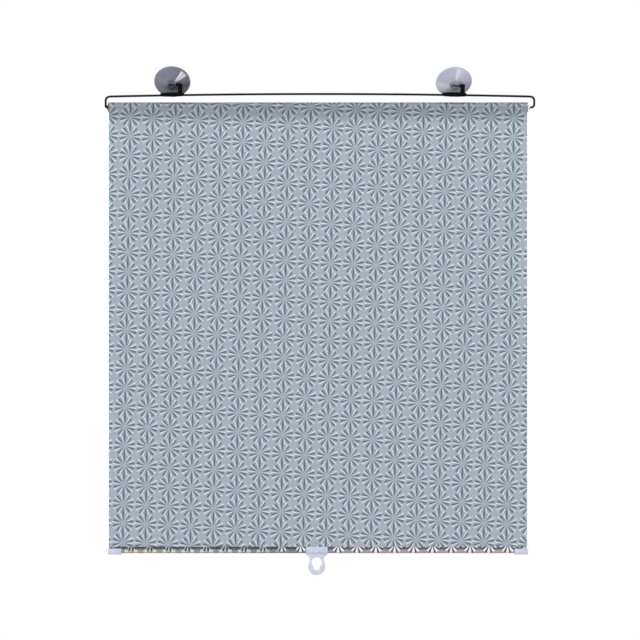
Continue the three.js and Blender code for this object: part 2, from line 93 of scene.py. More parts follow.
class Finish:
    # a material in the making, or the world, round its one shader
    def __init__(self, name, look=None, world=None):
        self.material = world or bpy.data.materials.new(name)
        self.material.use_nodes = True
        self.tree = self.material.node_tree
        self.shader = self.tree.nodes["Background" if world else "Principled BSDF"]
        self.wear(look or {})

    def add(self, kind, settings=None, values=None, output=0):
        node = self.tree.nodes.new(kind)
        for setting, value in (settings or {}).items():
            if setting == "stops":
                self.fillRamp(node.color_ramp, value)
            else:
                setattr(node, setting, value)
        for key, value in (values or {}).items():
            self.put(node.inputs[key], value)
        return Value(self, node.outputs[output])

    def fillRamp(self, ramp, stops):
        while len(ramp.elements) < len(stops):
            ramp.elements.new(0.5)
        for element, (place, colour) in zip(ramp.elements, sorted(stops, key=lambda stop: stop[0])):
            element.position = place
            element.color = colour if hasattr(colour, "__len__") else (colour, colour, colour, 1)

    def put(self, socket, value):
        if isinstance(value, Value):
            self.tree.links.new(value.socket, socket)
        else:
            socket.default_value = value

    def math(self, operation, *values):
        return self.add("ShaderNodeMath", {"operation": operation}, dict(enumerate(values)))

    def mix(self, first, second, share, blend="MIX"):
        return self.add("ShaderNodeMix", {"data_type": "RGBA", "blend_type": blend},
                        {0: share, 6: first, 7: second}, output=2)

    def ease(self, value, start, end, low=0.0, high=1.0):
        return self.add("ShaderNodeMapRange", {"interpolation_type": "SMOOTHSTEP"},
                        {"Value": value, "From Min": start, "From Max": end, "To Min": low, "To Max": high})

    def near(self, value, middle, fade):
        # 1 where the value is close to the middle, eased to 0 away from it
        return self.ease(abs(value - middle), *fade)

    def ramp(self, value, stops):
        return self.add("ShaderNodeValToRGB", {"stops": stops}, {"Fac": value})

    def place(self, kind=3):
        # where the point is, in millimetres: 3 is the shared frame, 2 the piece's flat coordinates
        where = self.add("ShaderNodeTexCoord", output=kind)
        return [self.add("ShaderNodeSeparateXYZ", None, {0: where}, output=axis) * perMetre
                for axis in range(3)]

    def noise(self, size, detail, rough, stretch=(1, 1, 1)):
        # soft noise whose blotches are about size millimetres across
        where = self.add("ShaderNodeTexCoord", output=3)
        scaled = self.add("ShaderNodeVectorMath", {"operation": "MULTIPLY"}, {0: where, 1: stretch})
        return self.add("ShaderNodeTexNoise", None,
                        {"Vector": scaled, "Scale": perMetre / size, "Detail": detail, "Roughness": rough})

    def bump(self, height, depth, strength):
        return self.add("ShaderNodeBump", None, {"Height": height, "Distance": depth, "Strength": strength})

    def wear(self, look):
        for socket, value in look.items():
            self.put(self.shader.inputs[socket], value)
        return self


# ---- helpers for meshes

def newObject(name, data):
    thing = bpy.data.objects.new(name, data)
    bpy.context.scene.collection.objects.link(thing)
    return thing


def settled(thing):
    # the object's mesh, worked out
    bpy.context.view_layer.update()
    return bpy.data.meshes.new_from_object(thing.evaluated_get(bpy.context.evaluated_depsgraph_get()))


class Shell:
    # points and faces of one mesh, gathered part by part, in millimetres
    def __init__(self):
        self.points, self.faces = [], []

    def skin(self, rings, caps=True):
        # joins a row of closed rings that have the same number of points
        start, count = len(self.points), len(rings[0])
        for ring in rings:
            self.points.extend(Vector(point) for point in ring)
        for row in range(len(rings) - 1):
            for step in range(count):
                a = start + row * count + step
                b = start + row * count + (step + 1) % count
                self.faces.append((a, b, b + count, a + count))
        if caps:
            last = start + (len(rings) - 1) * count
            self.faces.append(tuple(range(start + count - 1, start - 1, -1)))
            self.faces.append(tuple(range(last, last + count)))
        return self

    def turned(self, profile, axis, sides, centre=(0, 0, 0), caps=True):
        # lathe: profile is a list of (place along the axis, radius)
        rings = []
        for along, radius in profile:
            ring = []
            for step in range(sides):
                angle = 2 * pi * step / sides
                across, up = radius * cos(angle), radius * sin(angle)
                point = (along, across, up) if axis == "X" else (across, along, -up)
                ring.append(Vector(point) + Vector(centre))
            rings.append(ring)
        return self.skin(rings, caps)

    def take(self, mesh):
        start = len(self.points)
        self.points.extend(Vector(vertex.co) for vertex in mesh.vertices)
        self.faces.extend(tuple(start + i for i in face.vertices) for face in mesh.polygons)
        return self

    def piece(self, name, finish, body, slotName, nodes, where, sharp=38):
        mesh = bpy.data.meshes.new(name)
        scale = where @ Matrix.Scale(mm, 4)
        mesh.from_pydata([scale @ point for point in self.points], [], self.faces)
        solid = bmesh.new()
        solid.from_mesh(mesh)
        bmesh.ops.recalc_face_normals(solid, faces=solid.faces)
        solid.to_mesh(mesh)
        solid.free()
        mesh.shade_smooth()
        mesh.set_sharp_from_angle(angle=radians(sharp))
        mesh.materials.append(finish.material)
        thing = newObject(name, mesh)
        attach(thing, body)
        if nodes:
            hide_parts(*nodes)
        return thing


def quarter(steps):
    # the angles of a quarter turn
    return [pi / 2 * k / steps for k in range(steps + 1)]


def curveThrough(*legs):
    # points along curved and straight legs: (start, corner, end, steps) or (start, end)
    points = []
    for leg in legs:
        if len(leg) == 2:
            points += [Vector(leg[0]), Vector(leg[1])]
            continue
        start, corner, end = (Vector(point) for point in leg[:3])
        for step in range(leg[3] + 1):
            t = step / leg[3]
            points.append(start * (1 - t) ** 2 + corner * 2 * t * (1 - t) + end * t * t)
    return [point for i, point in enumerate(points) if i == 0 or (point - points[i - 1]).length > 1e-4]


def bezier(start, first, second, end, steps):
    points = []
    for step in range(steps + 1):
        t = step / steps
        points.append(tuple(
            a * (1 - t) ** 3 + 3 * b * t * (1 - t) ** 2 + 3 * c * t * t * (1 - t) + d * t ** 3
            for a, b, c, d in zip(start, first, second, end)))
    return points


def axesAt(origin, *axes):
    return Matrix.Translation(origin) @ Matrix(axes).transposed().to_4x4()


def arc(centre, radius, start, end, steps):
    # start and end in degrees, anticlockwise from the first coordinate
    turns = [radians(start + (end - start) * i / steps) for i in range(steps + 1)]
    return [(centre[0] + radius * cos(a), centre[1] + radius * sin(a)) for a in turns]


def plate(outlines, thickness, edge):
    # flat plate with rounded edges in X and Z, as thick as said along Y; outlines after the first are holes
    curve = bpy.data.curves.new("outline", "CURVE")
    curve.dimensions, curve.fill_mode = "2D", "BOTH"
    curve.extrude, curve.bevel_depth, curve.bevel_resolution = thickness / 2 - edge, edge, 3
    curve.offset = -edge
    for outline in outlines:
        spline = curve.splines.new("POLY")
        spline.points.add(len(outline) - 1)
        for point, (across, up) in zip(spline.points, outline):
            point.co = (across, up, 0, 1)
        spline.use_cyclic_u = True
    holder = newObject("outline", curve)
    mesh = settled(holder)
    bpy.data.objects.remove(holder)
    mesh.transform(Matrix.Rotation(radians(90), 4, "X"))
    solid = bmesh.new()
    solid.from_mesh(mesh)
    bmesh.ops.remove_doubles(solid, verts=solid.verts, dist=1e-4)
    solid.to_mesh(mesh)
    solid.free()
    return mesh


def cutAway(thing, cutter):
    # boolean difference, settled into the mesh
    cut = thing.modifiers.new("cut", "BOOLEAN")
    cut.operation, cut.solver, cut.object = "DIFFERENCE", "EXACT", cutter
    mesh = settled(thing)
    thing.modifiers.clear()
    thing.data = mesh
    bpy.data.objects.remove(cutter)


# ---- finishes

# Noises are given as size in millimetres, detail and roughness; reliefs as depth in metres and strength.
blackWireLook = {
    "colour": srgb(9, 9, 11), "worn": srgb(40, 40, 42), "roughness": 0.4, "shine": 0.22,
    "drawn": (2.0, 3, 0.6), "drawnStretch": (0.15, 1, 1), "drawnRough": 0.16,
    "specks": (1.1, 4, 0.7), "speckRange": (0.66, 0.74), "speckShare": 0.5, "relief": (0.00005, 0.5),
}
blackPlasticLook = {
    "colour": srgb(3, 3, 4), "flow": srgb(10, 10, 12), "roughness": 0.5, "shine": 0.08,
    "grain": (0.35, 3, 0.65), "grainRough": 0.12, "flowNoise": (9, 2, 0.5), "relief": (0.00004, 0.5),
}
milkyLook = {"colour": srgb(223, 227, 243), "cloud": srgb(209, 214, 234), "roughness": 0.33, "alpha": 0.93}
whiteLook = {"colour": srgb(249, 250, 252), "cloud": srgb(240, 241, 245), "roughness": 0.36, "alpha": 1.0}
milkyGrain = {
    "clouds": (6, 3, 0.55), "cloudRange": (0.35, 0.7),
    "grain": (0.5, 2, 0.5), "grainRough": 0.1, "relief": (0.00003, 0.4),
}
tubeLook = {
    "colour": srgb(196, 198, 201), "dull": srgb(150, 152, 156), "roughness": 0.36, "stretch": (0.1, 1, 1),
}
springLook = {
    "colour": srgb(120, 122, 126), "dull": srgb(84, 86, 90), "roughness": 0.32, "stretch": (1, 1, 1),
}
metalGrain = {"drawn": (0.8, 4, 0.7), "drawnRange": (0.3, 0.65), "drawnRough": 0.2, "relief": (0.00003, 0.4)}


def blackWireFinish():
    look = blackWireLook
    finish = Finish("satin_black_wire", {"Specular IOR Level": look["shine"]})
    drawn = finish.noise(*look["drawn"], stretch=look["drawnStretch"])
    specks = finish.ease(finish.noise(*look["specks"]), *look["speckRange"])
    return finish.wear({
        "Base Color": finish.mix(look["colour"], look["worn"], specks * look["speckShare"]),
        "Roughness": look["roughness"] + drawn * look["drawnRough"],
        "Normal": finish.bump(drawn, *look["relief"]),
    })


def blackPlasticFinish():
    look = blackPlasticLook
    finish = Finish("moulded_black_plastic", {"Specular IOR Level": look["shine"]})
    grain, flow = finish.noise(*look["grain"]), finish.noise(*look["flowNoise"])
    return finish.wear({
        "Base Color": finish.mix(look["colour"], look["flow"], flow),
        "Roughness": look["roughness"] + grain * look["grainRough"],
        "Normal": finish.bump(grain, *look["relief"]),
    })


def milkyFinish(name, look):
    finish = Finish(name)
    cloud = finish.ease(finish.noise(*milkyGrain["clouds"]), *milkyGrain["cloudRange"])
    grain = finish.noise(*milkyGrain["grain"])
    return finish.wear({
        "Base Color": finish.mix(look["colour"], look["cloud"], cloud),
        "Roughness": look["roughness"] + grain * milkyGrain["grainRough"],
        "Alpha": look["alpha"],
        "Normal": finish.bump(grain, *milkyGrain["relief"]),
    })


def metalFinish(name, look):
    finish = Finish(name, {"Metallic": 1.0})
    drawn = finish.noise(*metalGrain["drawn"], stretch=look["stretch"])
    return finish.wear({
        "Base Color": finish.mix(look["dull"], look["colour"], finish.ease(drawn, *metalGrain["drawnRange"])),
        "Roughness": look["roughness"] + drawn * metalGrain["drawnRough"],
        "Normal": finish.bump(drawn, *metalGrain["relief"]),
    })


# Star film. Angles are degrees clockwise from straight up, sizes are millimetres.
starFilm = {
    "across": (26.954, -1.428),      # from one star to the next along a row
    "down": (-0.418, -23.141),       # from one row to the next
    "first": (-227.05, -11.53),      # a star's centre: X, and height over the roller axis
    # The rays belong to the embossed star pattern. The light rays carry painted highlight and the dark rays
    # painted shade, in place of light on the embossed facets.
    "highlightRays": (30, 65, 97, 130, 165, 207, 243, 277, 310, 345),
    "shadedRays": (0, 39, 78, 108, 140, 180, 218, 255, 287, 320),
    "highlightSides": (8, 7),            # where a light line fades out on either side, degrees
    "shadedSides": (8, 10),
    # painted highlight colour of the light rays, then painted shade colour of the dark rays
    "rayHighlight": srgb(242, 254, 255),
    "dark": srgb(58, 72, 84),
    "wedge": srgb(166, 178, 192),
    "tealWedge": srgb(148, 169, 180),
    "flat": srgb(181, 188, 200),
    "heart": srgb(178, 187, 199),
    # teal sectors: where a tint begins, is full, starts to fade and ends
    "tealParts": ((100, 118, 150, 170), (280, 298, 330, 350)),
    # distances from the centre over which each kind fades in and out again
    "wedgeIn": (2.0, 6.0), "wedgeOut": (12.4, 10.8), "heartEdge": (8, 12),
    "shadedIn": (1.2, 6.0), "shadedOut": (13.1, 11.7),
    "highlightIn": (1.6, 7.0), "highlightOut": (13.8, 12.8),
    "weave": 2.5, "weaveShare": 0.12,
    "speck": srgb(112, 124, 138), "grain": (1.3, 3, 0.7), "speckRange": (0.38, 0.62), "speckShare": 0.22,
    # painted shade: how far the sheet is darkened at depths below the roller's axis, darkest just under the roll
    # and fading lower down
    "paintedShade": ((0, 0.62), (4, 0.63), (8, 0.67), (12.5, 0.75), (17, 0.9), (21, 0.965), (28, 0.97), (530, 1.0)),
    # painted shade over the whole film on the roll
    "rollPaintedShade": 0.61,
    "metallic": 0.25, "roughness": 0.34, "grainRough": 0.08,
    "emboss": (0.00018, 0.6), "grainHeight": 0.06,
}


def nearestStar(x, height, star):
    # steps from the centre of the nearest star, as clockwise share of a turn and distance
    (ax, az), (dx, dz) = star["across"], star["down"]
    area = ax * dz - az * dx
    x, height = x - star["first"][0], height - star["first"][1]
    across = x * (dz / area) - height * (dx / area)
    down = height * (ax / area) - x * (az / area)
    across, down = across - across.calc("ROUND"), down - down.calc("ROUND")
    side, up = across * ax + down * dx, across * az + down * dz
    turn = side.calc("ARCTAN2", up) * (0.5 / pi)
    return turn + (turn < 0), (side * side + up * up).calc("SQRT")


def rayMask(finish, turn, rays, sides):
    # white along each ray, fading to black on both sides; a ray at 0 comes back at 360
    before, after = sides
    stops = []
    for ray in rays:
        if ray == 0:
            stops += [(0, 1), (after / 360, 0), (1 - before / 360, 0), (1, 1)]
        else:
            stops += [((ray - before) / 360, 0), (ray / 360, 1), ((ray + after) / 360, 0)]
    return finish.ramp(turn, stops)


def starColours(finish, x, height, star):
    turn, distance = nearestStar(x, height, star)
    tints = [(0, star["wedge"])]
    for begin, full, fade, end in star["tealParts"]:
        tints += [(begin / 360, star["wedge"]), (full / 360, star["tealWedge"]),
                  (fade / 360, star["tealWedge"]), (end / 360, star["wedge"])]
    ground = finish.mix(star["heart"], star["flat"], finish.ease(distance, *star["heartEdge"]))
    wedges = finish.ease(distance, *star["wedgeIn"]) * finish.ease(distance, *star["wedgeOut"])
    colour = finish.mix(ground, finish.ramp(turn, tints), wedges)
    # the pattern's rays: painted shade along the dark ones, painted highlight along the light ones
    shadedLine = (rayMask(finish, turn, star["shadedRays"], star["shadedSides"])
                * finish.ease(distance, *star["shadedIn"]) * finish.ease(distance, *star["shadedOut"]))
    highlightLine = (rayMask(finish, turn, star["highlightRays"], star["highlightSides"])
                 * finish.ease(distance, *star["highlightIn"]) * finish.ease(distance, *star["highlightOut"]))
    colour = finish.mix(colour, star["dark"], shadedLine)
    return finish.mix(colour, star["rayHighlight"], highlightLine), 0.5 + (highlightLine - shadedLine) * 0.5


def filmFinish(name, onRoll):
    star = starFilm
    finish = Finish(name, {"Metallic": star["metallic"]})
    if onRoll:
        x, height, _ = finish.place(2)
        # the roll gets one painted shade level all over
        paintedShade = star["rollPaintedShade"]
    else:
        x, _, height = finish.place()
        height = height - rollerAxis.z * perMetre
        deepest = star["paintedShade"][-1][0]
        paintedShade = finish.ramp(height / -deepest, [(depth / deepest, level) for depth, level in star["paintedShade"]])
    colour, tone = starColours(finish, x, height, star)
    wave = 2 * pi / star["weave"]
    weave = (((x + height) * wave).calc("SINE") + ((x - height) * wave).calc("SINE")) * 0.25 + 0.5
    grain = finish.noise(*star["grain"])
    specks = finish.ease(grain, *star["speckRange"])
    colour = finish.mix(colour, star["speck"], weave * star["weaveShare"] + specks * star["speckShare"])
    # painted shade: the film's colour is darkened by this level
    colour = finish.mix(colour, finish.mix((0, 0, 0, 1), (1, 1, 1, 1), paintedShade), 1.0, "MULTIPLY")
    return finish.wear({
        "Base Color": colour,
        "Roughness": star["roughness"] + grain * star["grainRough"],
        "Normal": finish.bump(tone + grain * star["grainHeight"], *star["emboss"]),
    })


# Bottom hem: the same film seen edge on round the rod. Depths are below the fans' centres.
hemLook = {
    "pitch": 22.52,                  # from one fan to the next
    "first": 134.3,                  # X of a fan's centre
    "top": -523.6,                   # height of the fans' centres over the roller axis
    "strokes": (0.16, 0.36, 0.6, 0.82),   # dark strokes of a fan, as shares of the half turn below it
    "strokeHalf": 0.03, "strokeFade": 0.07,
    "change": (-70, 60),             # X over which the left fans grow to the right ones
    "reach": (8.4, 9.9), "spread": (4.4, 9.0),
    "fanIn": (1.8, 3.0), "fanOut": (0.6, -1.4), "sideOut": (0.6, -1.0), "fanShare": 0.9,
    "leftSide": (-20, -90), "leftFade": 0.45,
    "tints": ((-250, srgb(158, 154, 148)), (-130, srgb(146, 150, 150)), (-60, srgb(118, 132, 140)),
              (-30, srgb(124, 122, 144)), (30, srgb(160, 156, 170)), (120, srgb(170, 158, 166)),
              (250, srgb(186, 168, 170))),
    "topTints": ((-250, srgb(84, 84, 80)), (-130, srgb(74, 86, 88)), (-60, srgb(56, 76, 84)),
                 (-30, srgb(66, 66, 84)), (30, srgb(104, 106, 122)), (250, srgb(114, 100, 104))),
    "topBand": (6.2, 3.6),
    "blotch": (2.6, 2, 0.6), "blotchStretch": (1, 1, 1.6), "blotchRange": (0.46, 0.56),
    "blotchBand": (7.4, 4.4), "blotchShare": 0.8,
    # pale spots and pairs of slanting dark strokes on the left
    "spotSide": 5.2, "spotSideFade": (3.2, 1.4), "spotDepth": 7.2, "spotDepthFade": (2.2, 1.0),
    "spotShare": 0.6,
    "pairSlant": 0.3, "pairShift": 1.6, "pairSide": 2.0, "pairFade": (1.3, 0.6),
    "pairDepth": 5.0, "pairDepthFade": (2.9, 1.7), "pairShare": 0.9,
    # painted shade on the pocket's underside
    "foot": (9.2, 10.0), "footShadeShare": 0.6,
    "bright": srgb(252, 250, 250),
    "dark": srgb(26, 20, 22),
    "metallic": 0.15, "roughness": 0.22,
    "grain": (0.9, 3, 0.6), "grainRange": (0.55, 0.8), "grainShare": 0.2, "grainRough": 0.1,
    "relief": (0.0001, 0.5),
}


def hemTint(finish, x, tints):
    low, high = tints[0][0], tints[-1][0]
    return finish.ramp((x - low) / (high - low), [((at - low) / (high - low), tone) for at, tone in tints])


def hemFinish():
    look = hemLook
    finish = Finish("film_hem", {"Metallic": look["metallic"]})
    x, _, height = finish.place()
    height = height - rollerAxis.z * perMetre
    cell = (x - look["first"]) / look["pitch"]
    side = (cell - cell.calc("ROUND")) * look["pitch"]
    down = look["top"] - height
    turn = side.calc("ARCTAN2", down) * (1 / pi) + 0.5
    distance = (side * side + down * down).calc("SQRT")
    leftSide = finish.ease(x, *look["leftSide"])

    grain = finish.noise(*look["grain"])
    blotch = finish.noise(*look["blotch"], stretch=look["blotchStretch"])
    colour = finish.mix(hemTint(finish, x, look["tints"]), hemTint(finish, x, look["topTints"]),
                        finish.ease(down, *look["topBand"]))
    blotches = finish.ease(blotch, *look["blotchRange"]) * finish.ease(down, *look["blotchBand"])
    colour = finish.mix(colour, look["dark"], blotches * look["blotchShare"])
    spots = (finish.near(abs(side), look["spotSide"], look["spotSideFade"])
             * finish.near(down, look["spotDepth"], look["spotDepthFade"]) * leftSide)
    colour = finish.mix(colour, look["bright"], spots * look["spotShare"])

    stops = [(0, look["bright"]), (1, look["bright"])]
    for stroke in look["strokes"]:
        stops += [(stroke + far, look["bright"]) for far in (-look["strokeFade"], look["strokeFade"])]
        stops += [(stroke + far, look["dark"]) for far in (-look["strokeHalf"], look["strokeHalf"])]
    reach = finish.ease(x, *look["change"], *look["reach"])
    spread = finish.ease(x, *look["change"], *look["spread"])
    fans = (finish.ease(distance, *look["fanIn"]) * finish.ease(distance - reach, *look["fanOut"])
            * finish.ease(abs(side) - spread, *look["sideOut"]))
    fans = fans * (look["fanShare"] - leftSide * look["leftFade"])
    colour = finish.mix(colour, finish.ramp(turn, stops), fans)
    slanted = side + down * look["pairSlant"] - look["pairShift"]
    pair = (finish.near(abs(slanted), look["pairSide"], look["pairFade"])
            * finish.near(down, look["pairDepth"], look["pairDepthFade"]) * leftSide)
    colour = finish.mix(colour, look["dark"], pair * look["pairShare"])
    # painted shade: the pocket's underside darker
    colour = finish.mix(colour, look["dark"], finish.ease(down, *look["foot"]) * look["footShadeShare"])
    return finish.wear({
        "Base Color": finish.mix(colour, look["dark"],
                                 finish.ease(grain, *look["grainRange"]) * look["grainShare"]),
        "Roughness": look["roughness"] + grain * look["grainRough"],
        "Normal": finish.bump(grain, *look["relief"]),
    })


# What both cups share. Radii are from the cup's axis, depths along it from the peg.
vinylGrain = {
    "coat": 0.5, "coatRoughness": 0.05, "bend": 1.5, "roughness": 0.14, "waveRough": 0.05,
    "waves": (7, 2, 0.5), "waveRange": (0.45, 0.75), "hazeShare": 0.25, "relief": (0.0003, 0.4),
    # radii over which the painted highlight streaks fade in and out, then the painted lighter lip and the painted
    # shade ring round the knob
    "highlightStreakIn": 2, "highlightStreakOut": 2.5, "rim": (20.3, 21.4), "rimLightShare": 0.7,
    "knobDepth": (2.6, 1.2), "knobShadeIn": (4.4, 4.9), "knobShadeOut": (6.2, 5.4), "knobShadeShare": 0.5,
    "knobClear": (5.3, 4.9),
}


def vinylFinish(name, look, place):
    # place is the cup's own frame: Y its axis, towards the glass
    both = vinylGrain
    finish = Finish(name, {"Coat Weight": both["coat"], "Coat Roughness": both["coatRoughness"],
                           "IOR": both["bend"]})
    where = finish.add("ShaderNodeTexCoord", output=3)
    offset = finish.add("ShaderNodeVectorMath", {"operation": "SUBTRACT"}, {0: where, 1: place.translation})
    across, along, up = (
        finish.add("ShaderNodeVectorMath", {"operation": "DOT_PRODUCT"}, {0: offset, 1: place.col[axis].xyz},
                   output=1) * perMetre for axis in range(3))
    radius = (across * across + up * up).calc("SQRT")
    turn = across.calc("ARCTAN2", up) * (0.5 / pi)
    turn = turn + (turn < 0)
    # the smoky vinyl's tint round the cup with painted shade and painted reflection, darker low down
    tintAndShade = finish.ramp(turn, [(angle / 360, tone) for angle, tone in look["tintAndShade"]])
    highlightStreaks = finish.ramp(turn, [(angle / 360, level) for angle, level in look["highlightStreaks"]])
    wave = finish.noise(*both["waves"])
    colour = finish.mix(tintAndShade, look["haze"], finish.ease(wave, *both["waveRange"]) * both["hazeShare"])
    # painted highlight streaks where a lamp would glint on the cup's cone, fading in and out along the radius
    near, far = look["highlightReach"]
    highlightStreaks = (highlightStreaks * finish.ease(radius, near, near + both["highlightStreakIn"])
               * finish.ease(radius, far, far - both["highlightStreakOut"]))
    colour = finish.mix(colour, look["streakHighlight"], highlightStreaks)
    # painted light: a lighter band at the lip
    colour = finish.mix(colour, look["rim"], finish.ease(radius, *both["rim"]) * both["rimLightShare"])
    knob = finish.ease(along, *both["knobDepth"])
    # painted shade: a dark ring round the knob's edge
    line = finish.ease(radius, *both["knobShadeIn"]) * finish.ease(radius, *both["knobShadeOut"]) * knob
    colour = finish.mix(colour, look["line"], line * both["knobShadeShare"])
    clear = finish.ease(radius, *both["knobClear"]) * knob
    return finish.wear({
        "Base Color": colour,
        "Roughness": both["roughness"] + wave * both["waveRough"],
        "Alpha": look["alpha"] - clear * look["knobClear"],
        "Normal": finish.bump(wave, *both["relief"]),
    })


blackWire = blackWireFinish()
blackPlastic = blackPlasticFinish()
milky = milkyFinish("milky_plastic", milkyLook)
white = milkyFinish("white_plastic", whiteLook)
tubeMetal = metalFinish("drawn_tube", tubeLook)
springSteel = metalFinish("spring_wire", springLook)
film = filmFinish("star_film", False)
rolledFilm = filmFinish("star_film_on_the_roll", True)
hem = hemFinish()

# CAD nodes that stay as they are
for nodeName, finish in {
    "spring_spindle": white, "spindle_bearing": white, "torsion_spring": springSteel, "hem_rod": blackPlastic,
    "roller_tube": tubeMetal, "left_end_plug": blackPlastic, "spring_anchor": blackPlastic,
}.items():
    node = frame["nodes"][nodeName]
    node.data.materials.clear()
    node.data.materials.append(finish.material)
print("finishes made")


# ---- wire frame over the roller

wireFrame = {
    "width": 511.8, "leftOut": 1.0, "rightOut": 0.3, "legHeight": 12.9, "rise": 3.1, "radius": 1.3,
    "topBend": 5.2, "lowBend": 2.0, "rightBend": 4.2, "leftHook": 13.0, "rightHook": 11.0,
    "sides": 24, "lowSteps": 10, "bendSteps": 14, "archSteps": 90,
}


def makeWire(wire):
    half, top, bend = wire["width"] / 2, wire["legHeight"], wire["topBend"]
    left, right = -half - wire["leftOut"], half + wire["rightOut"]
    archX = half - bend
    archZ = top + wire["rise"] * (1 - (archX / half) ** 2)
    peak = 2 * (top + wire["rise"]) - archZ
    low, lowRight, steps = wire["lowBend"], wire["rightBend"], wire["bendSteps"]
    path = curveThrough(
        ((-half + wire["leftHook"], 0, 0), (left + low, 0, 0)),
        ((left + low, 0, 0), (left, 0, 0), (left, 0, low), wire["lowSteps"]),
        ((left, 0, low), (left, 0, top - bend)),
        ((left, 0, top - bend), (left, 0, top), (-archX, 0, archZ), steps),
        ((-archX, 0, archZ), (0, 0, peak), (archX, 0, archZ), wire["archSteps"]),
        ((archX, 0, archZ), (right, 0, top), (right, 0, top - bend), steps),
        ((right, 0, top - bend), (right, 0, lowRight)),
        ((right, 0, lowRight), (right, 0, 0), (right - lowRight, 0, 0), steps),
        ((right - lowRight, 0, 0), (half - wire["rightHook"], 0, 0)),
    )
    rings = []
    for i, point in enumerate(path):
        along = (path[min(i + 1, len(path) - 1)] - path[max(i - 1, 0)]).normalized()
        out = along.cross(Vector((0, 1, 0)))
        rings.append([point + (out * cos(a) + Vector((0, 1, 0)) * sin(a)) * wire["radius"]
                      for a in (2 * pi * k / wire["sides"] for k in range(wire["sides"]))])
    return Shell().skin(rings).piece("bent_wire", blackWire, "hanger", "black_wire", ["wire_hanger"],
                                     atRoller, sharp=60)


makeWire(wireFrame)
print("wire frame made")


# ---- film: on the roll, hanging, and round the hem rod

# Depths are below the roller's axis. The ridge is the end of each turn seen on the roll's ends.
filmSheet = {
    "thickness": 0.3, "rollRadius": 6.05, "rollInner": 5.62, "rollTurns": 3, "rollOver": 1.2,
    "rollSides": 96, "rollRows": 24, "ridge": (0.02, 0.04, 0.02), "ridgeIn": 0.4,
    "edgeRound": ((0.2, 0.11), (1.0, 0.04), (2.4, 0.0)),
    "topRows": (0.5, 1.0, 1.5, 2.0, 2.6), "tuck": 0.4, "drop": 525.7, "columns": 130, "rows": 140,
    # ripples: share, waves across, waves down, shift
    "ripple": 0.22, "ripples": ((1.0, 17, 3, 0), (0.6, 41, -5, 1)), "ripplePower": 1.2,
    "edgeWave": 0.25, "edgeNarrow": 12, "edgeWaves": 60, "rightShift": 2,
    "rodDepth": 531.4, "pocketRadius": 2.05, "neck": 0.3, "hemRows": 160,
    "creases": ((0.06, 1.9, 0), (0.05, 0.83, 1)), "creaseOut": 0.4, "creaseUp": 0.3,
}
dropY = -(filmSheet["rollRadius"] - filmSheet["thickness"] / 2)


def makeRoll(sheet):
    # profile of the roll's skin: the turns' ends as fine ridges, and the outer turn's edge softly rounded
    inner, outer = sheet["rollInner"], sheet["rollRadius"]
    low, high = filmLeft - sheet["rollOver"], filmRight + sheet["rollOver"]
    step, sides, rows = (outer - inner) / sheet["rollTurns"], sheet["rollSides"], sheet["rollRows"]
    foot, crest, dip = sheet["ridge"]
    end = []
    for turn in range(sheet["rollTurns"] - 1):
        start = inner + turn * step
        end += [(0.0, start + foot), (0.0, start + step - crest), (sheet["ridgeIn"], start + step - dip)]
    end.append((0.0, outer - step + foot))
    end += [(into, outer - under) for into, under in sheet["edgeRound"]]
    profile = [(low + into, radius) for into, radius in end]
    profile += [(low + (high - low) * k / rows, outer) for k in range(1, rows)]
    profile += [(high - into, radius) for into, radius in reversed(end)]
    shell = Shell().turned(profile, "X", sides, caps=False)
    # the inside, straight from one end to the other
    last = (len(profile) - 1) * sides
    for k in range(sides):
        shell.faces.append((k, last + k, last + (k + 1) % sides, (k + 1) % sides))
    thing = shell.piece("film_roll", rolledFilm, "roller", "silver_film", ["film"], atRoller, sharp=30)
    # flat coordinates for the stars: along the roll and round it, in metres
    mesh = thing.data
    layer = mesh.uv_layers.new(name="flatFilm")
    for face in mesh.polygons:
        points = [mesh.vertices[vertex].co - rollerAxis for vertex in face.vertices]
        turns = [atan2(point.z, -point.y) for point in points]
        for corner, point, turn in zip(face.loop_indices, points, turns):
            if max(turns) - min(turns) > pi and turn < 0:
                turn += 2 * pi
            layer.data[corner].uv = (point.x, turn * outer * mm)


def makeSheet(sheet):
    # the hanging film: a slightly rippled sheet, both faces and its rim
    shell, columns = Shell(), sheet["columns"]
    depths = [0, *sheet["topRows"]]
    depths += [sheet["drop"] * k / sheet["rows"] for k in range(1, sheet["rows"] + 1)]
    rows = len(depths) - 1
    for side in (-1, 1):
        for depth in depths:
            down = depth / sheet["drop"]
            # the first millimetres sink into the roll, so that no edge shows
            tuck = sheet["tuck"] * max(0, 1 - depth / sheet["topRows"][-1]) ** 2
            for column in range(columns + 1):
                across = column / columns
                x = filmLeft + (filmRight - filmLeft) * across
                free = max(0, sin(pi * down)) ** sheet["ripplePower"]
                ripple = sheet["ripple"] * free * sum(
                    share * sin(across * wide + down * tall + shift)
                    for share, wide, tall, shift in sheet["ripples"])
                edge = 1 - min(across, 1 - across) * sheet["edgeNarrow"]
                if edge > 0:
                    shift = sheet["rightShift"] if across > 0.5 else 0
                    ripple += sheet["edgeWave"] * free * edge * sin(down * sheet["edgeWaves"] + shift)
                y = dropY + ripple + tuck + side * sheet["thickness"] / 2
                shell.points.append(Vector((x, y, -depth)))
    wide, layer = columns + 1, (columns + 1) * (rows + 1)
    for row in range(rows):
        for column in range(columns):
            a = row * wide + column
            shell.faces.append((a, a + 1, a + 1 + wide, a + wide))
            shell.faces.append(tuple(layer + i for i in (a + wide, a + 1 + wide, a + 1, a)))
    rim = [*range(wide), *range(wide + columns, layer, wide),
           *range(layer - 2, rows * wide - 1, -1), *range((rows - 1) * wide, 0, -wide)]
    for a, b in zip(rim, rim[1:] + rim[:1]):
        shell.faces.append((a, b, b + layer, a + layer))
    return shell.piece("film_drop", film, "hanger", "silver_film", ["film"], atRoller)


